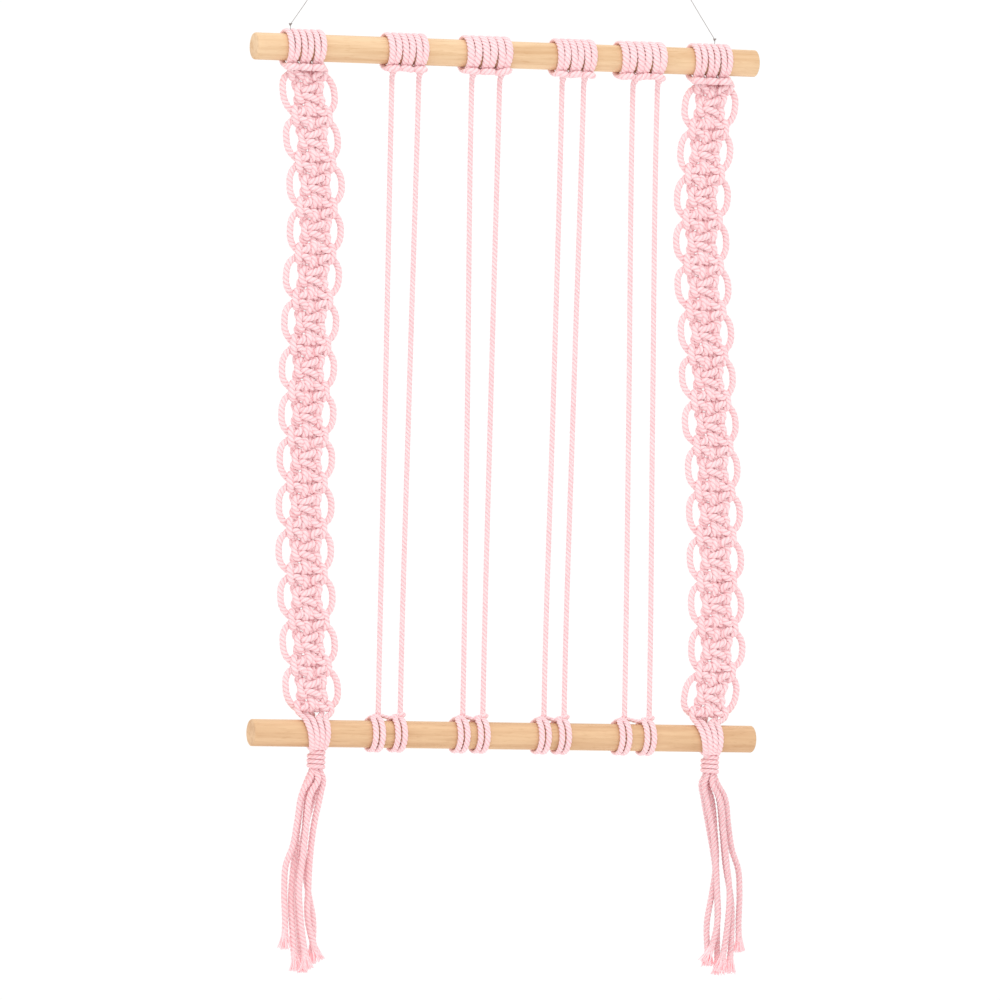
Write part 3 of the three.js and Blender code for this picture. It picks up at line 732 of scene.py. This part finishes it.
def make_materials():
    """Every finish by name; made once and looked up by the operators."""
    if "Cotton cord" in bpy.data.materials:
        return
    _, colours, _ = settings()
    yarn, grain = yarn_group(), grain_group()
    # Each finish pairs its own colour with a groove shade colour, painted shade for the grooves
    # between strands; the thread's is its own colour darkened.
    cotton = {"Crest": colour(colours.cotton), "Groove shade": colour(colours.cotton_groove_shade)}
    # The sheen is a real shader layer; the faint rosy emission is painted light, a glow that lifts
    # and reddens the shade in the crevices.
    sheen_and_glow = {"Sheen_Weight": 0.06, "Sheen_Roughness": 0.5, "Specular_IOR_Level": 0.08,
             "Sheen_Tint": colour((1.0, 0.72, 0.74)),
             "Emission_Color": colour((1.0, 0.40, 0.44)), "Emission_Strength": 0.045}
    finish_material("Cotton cord", yarn, {**cotton, "Tint reach": 0.66, "Streaks": 26.0,
                    "Fuzz": 0.5}, 0.6, 0.0004, **sheen_and_glow)
    rosy = {"Crest": colour((0.960, 0.735, 0.750)), "Groove shade": cotton["Groove shade"]}
    finish_material("Cotton tassel", yarn, {**rosy, "Tint reach": 0.8, "Streaks": 26.0,
                    "Fuzz": 0.6}, 0.6, 0.0004, **sheen_and_glow)
    # The fray's stronger emission is painted light that brightens its dark tufts.
    finish_material("Cotton fray", yarn, {**rosy, "Tint reach": 0.3, "Streaks": 9.0,
                    "Fuzz": 0.8}, 0.05, 0.00003, **{**sheen_and_glow, "Emission_Strength": 0.14})
    thread = {"Crest": colour(colours.thread), "Groove shade": colour(colours.thread, 0.8)}
    finish_material("Hanging thread", yarn, {**thread, "Tint reach": 0.3, "Streaks": 12.0,
                    "Fuzz": 0.2}, 0.2, 0.0001, Specular_IOR_Level=0.5)
    wood = {"Light": colour(colours.beech), "Dark": colour(colours.beech_grain)}
    finish_material("Beech upper", grain, {**wood, "Strength": 0.6, "Offset": 0.0},
                    0.12, 0.0003, Specular_IOR_Level=0.35)
    lower = {"Light": colour((0.755, 0.495, 0.285)), "Dark": colour((0.50, 0.265, 0.125))}
    finish_material("Beech lower", grain, {**lower, "Strength": 0.65, "Offset": 0.7},
                    0.12, 0.0003, Specular_IOR_Level=0.35)


def material(name):
    make_materials()
    return bpy.data.materials[name]


# ---- operators --------------------------------------------------------------------------

class HANGING_OT_stage(bpy.types.Operator):
    """Make the camera, the soft lights and the pale floor"""

    bl_idname = "hanging.stage"
    bl_label = "Camera and stage"

    def execute(self, context):
        _, _, stage = settings()
        self.camera(context.scene, stage)
        self.floor()
        self.lights(context.scene, stage)
        return {"FINISHED"}

    def camera(self, scene, stage):
        right = Vector((math.cos(stage.azimuth), math.sin(stage.azimuth), 0))
        back = Vector((math.sin(stage.azimuth), -math.cos(stage.azimuth), 0))
        up = Vector((0, 0, 1))
        rolled_right = right * math.cos(stage.roll) + up * math.sin(stage.roll)
        rolled_up = up * math.cos(stage.roll) - right * math.sin(stage.roll)
        turn = Matrix((rolled_right, rolled_up, back)).transposed().to_4x4()
        data = bpy.data.cameras.new("camera")
        data.lens, data.sensor_width = stage.lens, 36
        data.clip_end = 100
        camera = bpy.data.objects.new("camera", data)
        camera.matrix_world = Matrix.Translation(Vector(AIM) + back * stage.distance) @ turn
        scene.collection.objects.link(camera)
        scene.camera = camera

    def floor(self):
        """A pale floor below the tassels: one square, 2.6 m a side."""
        corners = ((-1, -1), (1, -1), (1, 1), (-1, 1))
        points = [(x * FLOOR_HALF, y * FLOOR_HALF, FLOOR_Z) for x, y in corners]
        mesh = bpy.data.meshes.new("floor")
        mesh.from_pydata(points, [], [(0, 1, 2, 3)])
        pale = bpy.data.materials.new("Pale floor")
        pale.use_nodes = True
        shader = pale.node_tree.nodes["Principled BSDF"]
        shader.inputs["Base Color"].default_value = (0.94, 0.94, 0.94, 1)
        shader.inputs["Roughness"].default_value = 0.95
        shader.inputs["Emission Color"].default_value = (1, 1, 1, 1)
        shader.inputs["Emission Strength"].default_value = 0.08
        mesh.materials.append(pale)
        floor = bpy.data.objects.new("floor", mesh)
        bpy.context.scene.collection.objects.link(floor)

    def lights(self, scene, stage):
        world = bpy.data.worlds.new("soft dome")
        world.use_nodes = True
        dome = world.node_tree.nodes["Background"]
        dome.inputs["Color"].default_value = (1, 1, 1, 1)
        dome.inputs["Strength"].default_value = DOME_STRENGTH
        scene.world = world
        scene.view_settings.view_transform = "Standard"
        light = bpy.data.lights.new("top softbox", "AREA")
        light.size, light.energy = SOFTBOX_SIZE, stage.key
        lamp = bpy.data.objects.new("top softbox", light)
        lamp.location = SOFTBOX_SPOT
        lamp.rotation_mode = "QUATERNION"
        way = Vector(SOFTBOX_AIM) - lamp.location
        lamp.rotation_quaternion = way.to_track_quat("-Z", "Y")
        scene.collection.objects.link(lamp)


def tassel_line(side, route, index):
    """A tassel cord's line from inside the wrap, through the route's points."""
    mirror, lean = TASSEL_SHAPE[side]
    neck_x = node_middle(f"{side}_gathering_wrap")[0]
    foot = WRAP_FOOT_Z - NECK_DROP
    points = [(neck_x + mirror * x + lean * down, y, foot - down) for x, y, down in route]
    spot = NECK_SPOTS[index]
    inside = (neck_x + mirror * spot[0] * 0.9, spot[1] * 0.85, WRAP_FOOT_Z + 3.2)
    lip = (neck_x + mirror * spot[0] * 1.05, spot[1], WRAP_FOOT_Z - 0.6)
    return smooth_route([inside, lip] + points, 0.9)[:-FRAY_STEPS]


def tuft(line, yarns, radius, lay, rng):
    """Straight-laid yarns that fray out of a cut end.

    Yarn k starts inside the cord at a sunflower place of its section and runs on along the
    end direction, while it drifts sideways with the square of the way and curls once.
    """
    end = line[-1] - line[-4]
    end /= np.linalg.norm(end)
    side = np.cross(end, [0, 1, 0])
    side /= np.linalg.norm(side)
    front = np.cross(side, end)
    parts = []
    turn = np.arange(yarns) * 2.399963
    seat = np.sqrt((np.arange(yarns) + 0.5) / yarns) * radius * 0.82
    length = rng.uniform(10.0, 11.6, yarns)
    spread = rng.normal(0, 1.0, (yarns, 2)) * [1.1, 0.7]
    t = np.linspace(0, 1, 9)
    for k in range(yarns):
        across = seat[k] * math.cos(turn[k]) * (1 + 1.3 * t**1.5) + spread[k, 0] * 1.2 * t**2
        depth = seat[k] * math.sin(turn[k]) * (1 + 0.5 * t**1.5) + spread[k, 1] * t**2
        curl = 0.22 * np.sin(t * 5 + turn[k]) * t
        way = (t * length[k] - 5.2)[:, None] * end
        path = line[-1] + way + (across + curl)[:, None] * side + depth[:, None] * front
        size = 1 - 0.35 * t
        parts.append(laid_cord(path, 0.4, lay, 0.0, around=6, size=size, dome=0.5, hand=0))
    return parts


class HANGING_OT_tassels(bpy.types.Operator):
    """Make the six cut cord ends under each strap, with their frayed tufts"""

    bl_idname = "hanging.tassels"
    bl_label = "Tassel cords"

    def execute(self, context):
        sizes, _, _ = settings()
        rng = np.random.default_rng(sizes.seed + 5)
        radius, lay = sizes.cord_radius / MM, sizes.cord_lay / MM
        for side in SIDES:
            for index, route in enumerate(TASSEL_ROUTES):
                self.cord(side, index, route, radius, lay, sizes, rng)
        return {"FINISHED"}

    def cord(self, side, index, route, radius, lay, sizes, rng):
        line = tassel_line(side, route, index)
        node = f"{side}_tassel_cord_{index + 1}"
        run = np.linspace(0, route_length(line), len(line))
        left = run[-1] - run
        inside = np.clip(run / 6, 0, 1)
        size = 0.88 + 0.3 * inside + 0.1 * np.clip((8 - left) / 8, 0, 1)
        hand = -1 if side == "left" else 1
        solid = laid_cord(line, radius, lay, sizes.groove * 1.1, size=size,
                          phase=index * 1.3, hand=hand)
        cord = make_piece(f"{node}_cord", [solid], material("Cotton tassel"))
        fray = make_piece(f"{node}_fray", tuft(line, sizes.tuft_yarns, radius, lay, rng),
                          material("Cotton fray"))
        body, other = f"{side}_tassel", f"{side}_gathering"
        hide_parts(node)
        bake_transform(cord)
        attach(fray, body)


def thread_cord(line, step, radius=THREAD_RADIUS):
    """A piece of thread along a line, with its points at equal steps."""
    return laid_cord(even_steps(line, step), radius, lay=1.4, groove=0.25, around=12)


class HANGING_OT_threads(bpy.types.Operator):
    """Make the two hanging threads, their ties round the upper dowel and their eyes"""

    bl_idname = "hanging.threads"
    bl_label = "Hanging threads"

    def execute(self, context):
        for side in SIDES:
            self.thread(side)
        return {"FINISHED"}

    def thread(self, side):
        x = node_middle(f"{side}_thread_tie")[0]
        rise, run = THREAD_RUNS[side]
        along = np.array([run, 0, rise]) / math.hypot(run, rise)
        knot = np.array([x, 0, THREAD_KNOT_Z])
        start = knot + along * 0.1
        end = knot + along * math.hypot(run, rise)
        middle = (start + end) / 2 + [0.12 * np.sign(run), -0.15, -0.1]
        line = smooth_route([start, middle, end], 0.5)
        finish = material("Hanging thread")
        thread = make_piece(f"{side}_thread", [
            laid_cord(line, THREAD_RADIUS, lay=1.4, groove=0.25, around=12)], finish)
        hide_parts(f"{side}_hanging_thread")
        angle = np.linspace(0, 4 * np.pi, 90)
        radius = THREAD_TIE_RADIUS + 0.06 * np.sin(angle * 3)
        tie_turns = np.stack([x + 0.28 * np.sin(angle / 2) * np.sign(run),
                              -radius * np.cos(angle + math.pi / 2),
                              radius * np.sin(angle + math.pi / 2)], axis=1)
        up = np.stack([x + 0 * angle[:12], 0.1 * np.sin(angle[:12] * 4),
                       np.linspace(8.2, THREAD_KNOT_Z, 12)], axis=1)
        t = np.linspace(0, 2 * np.pi, 60)
        ball = knot + 0.62 * np.stack([np.sin(t) + 0.5 * np.sin(2 * t), 0.55 * np.cos(3 * t),
                                       np.cos(t) - 0.5 * np.cos(2 * t)], axis=1)
        tie = make_piece(f"{side}_tie", [
            thread_cord(tie_turns, 0.6), thread_cord(up, 0.5), thread_cord(ball, 0.3, 0.36)],
            finish)
        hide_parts(f"{side}_thread_tie")
        centre = end + along * (EYE_RADIUS + 0.5)
        turn = np.linspace(0, 2 * np.pi, 60)
        heading = math.atan2(along[2], along[0]) + math.pi
        loop = centre + EYE_RADIUS * np.stack([
            np.cos(turn + heading), 0.05 * np.sin(turn), np.sin(turn + heading)], axis=1)
        eye = make_piece(f"{side}_eye", [thread_cord(loop, 0.5)], finish)
        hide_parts(f"{side}_hanging_eye")
        for piece in (thread, tie, eye):
            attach(piece, "hanging_frame")


class HANGING_OT_straps(bpy.types.Operator):
    """Make the three folded cords of each strap, from hitch to gathering"""

    bl_idname = "hanging.straps"
    bl_label = "Knotted straps"

    def execute(self, context):
        sizes, _, _ = settings()
        cells = drawn_tight(cell_cords())
        rng = np.random.default_rng(sizes.seed)
        for side in SIDES:
            self.strap(side, cells, sizes, rng)
        return {"FINISHED"}

    def strap(self, side, cells, sizes, rng):
        radius, lay = sizes.cord_radius / MM, sizes.cord_lay / MM
        lines = strap_routes(side, cells, sizes.picot_play / MM, rng)
        low, high = node_box(f"{side}_strap_hitch")
        pitch = (high[0] - low[0]) / 6
        turns = low[0] + pitch * (np.arange(6) + 0.5)
        first = None
        for knot, (left, right) in enumerate(((3, 2), (1, 6), (5, 4))):
            knot_x = (turns[2 * knot] + turns[2 * knot + 1]) / 2
            halves = [strap_cord_route(side, cord, knot_x, turns[2 * knot + place], lines[cord - 1])
                      for place, cord in enumerate((left, right))]
            line = smooth_route(np.concatenate([halves[0][:0:-1], halves[1]]), 0.75)
            depth = np.clip((WRAP_TOP_Z + 2 - line[:, 2]) / 4, 0, 1)
            knotted = np.clip((-13 - line[:, 2]) / 4, 0, 1) * np.clip((line[:, 2] + 366) / 4, 0, 1)
            bars = bar_share(line, 10.2)
            line[:, 2] -= 0.9 * bars
            full = np.maximum(knotted, 1.5 * bars)
            size = 1 + (sizes.knot_fullness - 1) * full - 0.26 * depth
            solid = laid_cord(line, radius, lay, sizes.groove, size=size,
                              press=pressed_on_wood(line), phase=knot * 0.9)
            piece = make_piece(f"{side}_strap_cord_{knot + 1}", [solid], material("Cotton cord"))
            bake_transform(piece)
            first = first or piece
        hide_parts(*[f"{side}_{node}" for node in (
            "strap_hitch", "strap_core", "strap_left_edge_cord", "strap_right_edge_cord",
            "saddle_cords")])


class HANGING_OT_gatherings(bpy.types.Operator):
    """Make the wrap round the neck of each tassel"""

    bl_idname = "hanging.gatherings"
    bl_label = "Gathering wraps"

    def execute(self, context):
        sizes, _, _ = settings()
        for side in SIDES:
            middle = node_middle(f"{side}_gathering_wrap")
            turn = np.linspace(-0.9 * math.pi, 2 * math.pi * 3.25, 280)
            share = np.clip(turn / (2 * math.pi * 3.25), 0, 1)
            top, foot = WRAP_TOP_Z + 0.9, WRAP_FOOT_Z + 1.2
            inward = np.clip(-turn / (0.9 * math.pi), 0, 1)
            reach = 4.2 - 2.4 * inward
            slant = 0.45 * np.sin(turn + 0.5)
            line = np.stack([middle[0] + reach * np.sin(turn), -reach * np.cos(turn),
                             top + (foot - top) * share + slant * 0.5], axis=1)
            line = even_steps(line, 0.6)
            away = line - [middle[0], 0, 0]
            away[:, 2] = 0
            press = away / np.linalg.norm(away, axis=1, keepdims=True)
            solid = laid_cord(line, 1.2, sizes.cord_lay / MM, sizes.groove * 0.5, press=press,
                              thin=0.1, wide=0.0)
            piece = make_piece(f"{side}_wrap", [solid], material("Cotton tassel"))
            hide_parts(f"{side}_gathering_wrap")
            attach(piece, f"{side}_gathering")
        return {"FINISHED"}


def lower_hitch_parts(x_left, x_right, radius, lay, groove):
    """Two turns under each leg and the strand between them along the dowel's top.

    Each leg goes down behind its knot, twice round the wood side by side, and tucks
    under the strand on top.
    """
    parts = []
    for x, far in ((x_left, x_right), (x_right, x_left)):
        centre = x + LOWER_HITCH_OFFSET
        stations = [(x, 88, 12.9), (x + 0.2, 96, 11.0), (x + 0.3, 125, 9.4),
                    (centre + 2.05, 170, 9.1), (centre + 2.0, 215, 9.1),
                    (centre + 2.0, 260, 9.1), (centre + 2.0, 305, 9.1),
                    (centre + 2.05, 350, 9.1), (centre + 2.0, 400, 9.15),
                    (centre + 1.7, 432, 9.5), (centre + 0.2, 452, 9.9),
                    (centre - 1.6, 480, 9.3), (centre - 2.0, 520, 9.1),
                    (centre - 2.0, 560, 9.1), (centre - 2.0, 610, 9.1),
                    (centre - 2.0, 660, 9.1), (centre - 2.05, 710, 9.1),
                    (centre - 2.0, 760, 9.15), (centre - 1.7, 790, 9.3)]
        if far > x:
            stations += [(centre + 0.4, 808, 10.3), (x + 2.6, 812, 10.2),
                         ((x + far) / 2 - 0.5, 808, 9.3), (far - 5.2, 806, 9.4),
                         (far - 3.2, 811, 10.3)]
        else:
            stations += [(centre - 0.2, 802, 10.5), (x + 0.6, 800, 11.3),
                         (x + 1.9, 815, 10.9), (x + 1.5, 836, 10.4)]
        line = smooth_route(round_wood(stations, LOWER_Z), 0.75)
        parts.append(laid_cord(line, radius, lay, groove, press=pressed_on_wood(line), thin=0.3))
    return parts


class HANGING_OT_pairs(bpy.types.Operator):
    """Make the four cord pairs: upper hitches, plain legs and lower hitches"""

    bl_idname = "hanging.pairs"
    bl_label = "Cord pairs"

    def execute(self, context):
        sizes, _, _ = settings()
        for name in PAIR_NAMES:
            self.pair(name, sizes)
        return {"FINISHED"}

    def pair(self, name, sizes):
        radius, lay, groove = sizes.cord_radius / MM, sizes.cord_lay / MM, sizes.groove
        low, high = node_box(f"{name}_upper_hitch")
        middle, pitch = (low[0] + high[0]) / 2, (high[0] - low[0]) / 6
        turns = low[0] + pitch * (np.arange(6) + 0.5)
        tops, feet = ([middle + x for x in xs] for xs in PAIR_LEGS[name])
        leg_turns = [int(np.argmin(np.abs(turns - x))) for x in tops]
        parts = []
        for knot in range(3):
            pair_turns = turns[2 * knot:2 * knot + 2]
            knot_x = pair_turns.mean()
            halves = []
            for place, turn_x in enumerate(pair_turns):
                index = 2 * knot + place
                half = hitch_half(knot_x, turn_x, leg=index in leg_turns)
                if index in leg_turns:
                    leg_x = tops[leg_turns.index(index)]
                    half = np.concatenate([half, [[(half[-1][0] + leg_x) / 2, -2.9, -10.4],
                                                  [leg_x, -0.9, -13.4], [leg_x, -0.3, -15.2]]])
                halves.append(half)
            line = smooth_route(np.concatenate([halves[0][:0:-1], halves[1]]), 0.75)
            bar = bar_share(line, 10.4)
            tilt = KNOT_TILTS[name][knot]
            line[:, 2] += tilt * bar * (line[:, 0] - knot_x) / 3
            line[:, 2] += abs(tilt) * 0.5 * bar
            parts.append(laid_cord(line, radius, lay, groove, press=pressed_on_wood(line),
                                   size=1 + 0.24 * bar, phase=knot * 1.1 + tilt, thin=0.24,
                                   wide=pitch / (2 * radius) - 1))
        upper = make_piece(f"{name}_upper_turns", parts, material("Cotton cord"))
        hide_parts(f"{name}_upper_hitch")
        lower = make_piece(f"{name}_lower_turns", lower_hitch_parts(*feet, radius, lay, groove),
                           material("Cotton cord"))
        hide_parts(f"{name}_lower_hitch")
        pieces = [upper, lower]
        for side, top_x, foot_x in zip(SIDES, tops, feet):
            bow = 0.25 if side == "left" else -0.2
            line = smooth_route([(top_x, -0.2, -14.2), (top_x + 0.2 * bow, 0, -30),
                                 ((top_x + foot_x) / 2 + bow, 0.1, (LOWER_Z - 10) / 2),
                                 (foot_x, 0.05, LOWER_Z + 25), (foot_x, 0, LOWER_Z + 11.9)], 0.9)
            leg = make_piece(f"{name}_{side}_leg", [
                laid_cord(line, radius * 0.98, lay, groove, phase=0.4)], material("Cotton cord"))
            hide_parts(f"{name}_{side}_cord")
            pieces.append(leg)
        for piece in pieces:
            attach(piece, name)


class HANGING_OT_dowels(bpy.types.Operator):
    """Make the two turned dowels with their softened ends"""

    bl_idname = "hanging.dowels"
    bl_label = "Beech dowels"

    def execute(self, context):
        for node, body, finish in (("upper_dowel", "hanging_frame", "Beech upper"),
                                   ("lower_dowel", "lower_dowel", "Beech lower")):
            low, high = node_box(node)
            centre = (low + high) / 2
            half, radius, soft = (high[0] - low[0]) / 2, DOWEL_RADIUS, 0.9
            angle = np.radians(np.linspace(0, 90, 6))
            rim = [(half - soft + soft * math.sin(a), radius - soft + soft * math.cos(a))
                   for a in angle]
            face = [(half, radius * share) for share in (0.7, 0.45, 0.2, 0.004)]
            right = [*rim, *face]
            body_points = [(x, radius) for x in np.linspace(-half + 4, half - 4, 60)]
            left = [(-x, r) for x, r in reversed(right)]
            profile = [*left, *body_points, *right]
            piece = make_piece(f"{node}_wood", [turned(profile, 96, centre)], material(finish))
            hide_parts(node)
            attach(piece, body)
        return {"FINISHED"}


# ---- add-on -----------------------------------------------------------------------------

PIECE_OPERATORS = (HANGING_OT_stage, HANGING_OT_tassels, HANGING_OT_threads,
                   HANGING_OT_straps, HANGING_OT_gatherings, HANGING_OT_pairs,
                   HANGING_OT_dowels)


class VIEW3D_PT_hanging(bpy.types.Panel):
    """Lists the hanging's sizes, colours and pieces"""

    bl_label = "Macrame Hanging"
    bl_space_type = "VIEW_3D"
    bl_region_type = "UI"
    bl_category = "Hanging"

    def draw(self, context):
        for group in settings():
            box = self.layout.box()
            for name in group.bl_rna.properties.keys():
                if name not in ("rna_type", "name"):
                    box.prop(group, name)
        for operator in PIECE_OPERATORS:
            self.layout.operator(operator.bl_idname)


CLASSES = (HangingSizes, HangingColours, HangingStage, *PIECE_OPERATORS, VIEW3D_PT_hanging)


def register():
    for item in CLASSES:
        bpy.utils.register_class(item)
    bpy.types.Scene.hanging_sizes = PointerProperty(type=HangingSizes)
    bpy.types.Scene.hanging_colours = PointerProperty(type=HangingColours)
    bpy.types.Scene.hanging_stage = PointerProperty(type=HangingStage)


def unregister():
    del bpy.types.Scene.hanging_stage
    del bpy.types.Scene.hanging_colours
    del bpy.types.Scene.hanging_sizes
    for item in reversed(CLASSES):
        bpy.utils.unregister_class(item)


def main():
    register()
    bpy.ops.hanging.stage()
    bpy.ops.hanging.tassels()
    bpy.ops.hanging.threads()
    bpy.ops.hanging.straps()
    bpy.ops.hanging.gatherings()
    bpy.ops.hanging.pairs()
    bpy.ops.hanging.dowels()


if __name__ == "__main__":
    main()
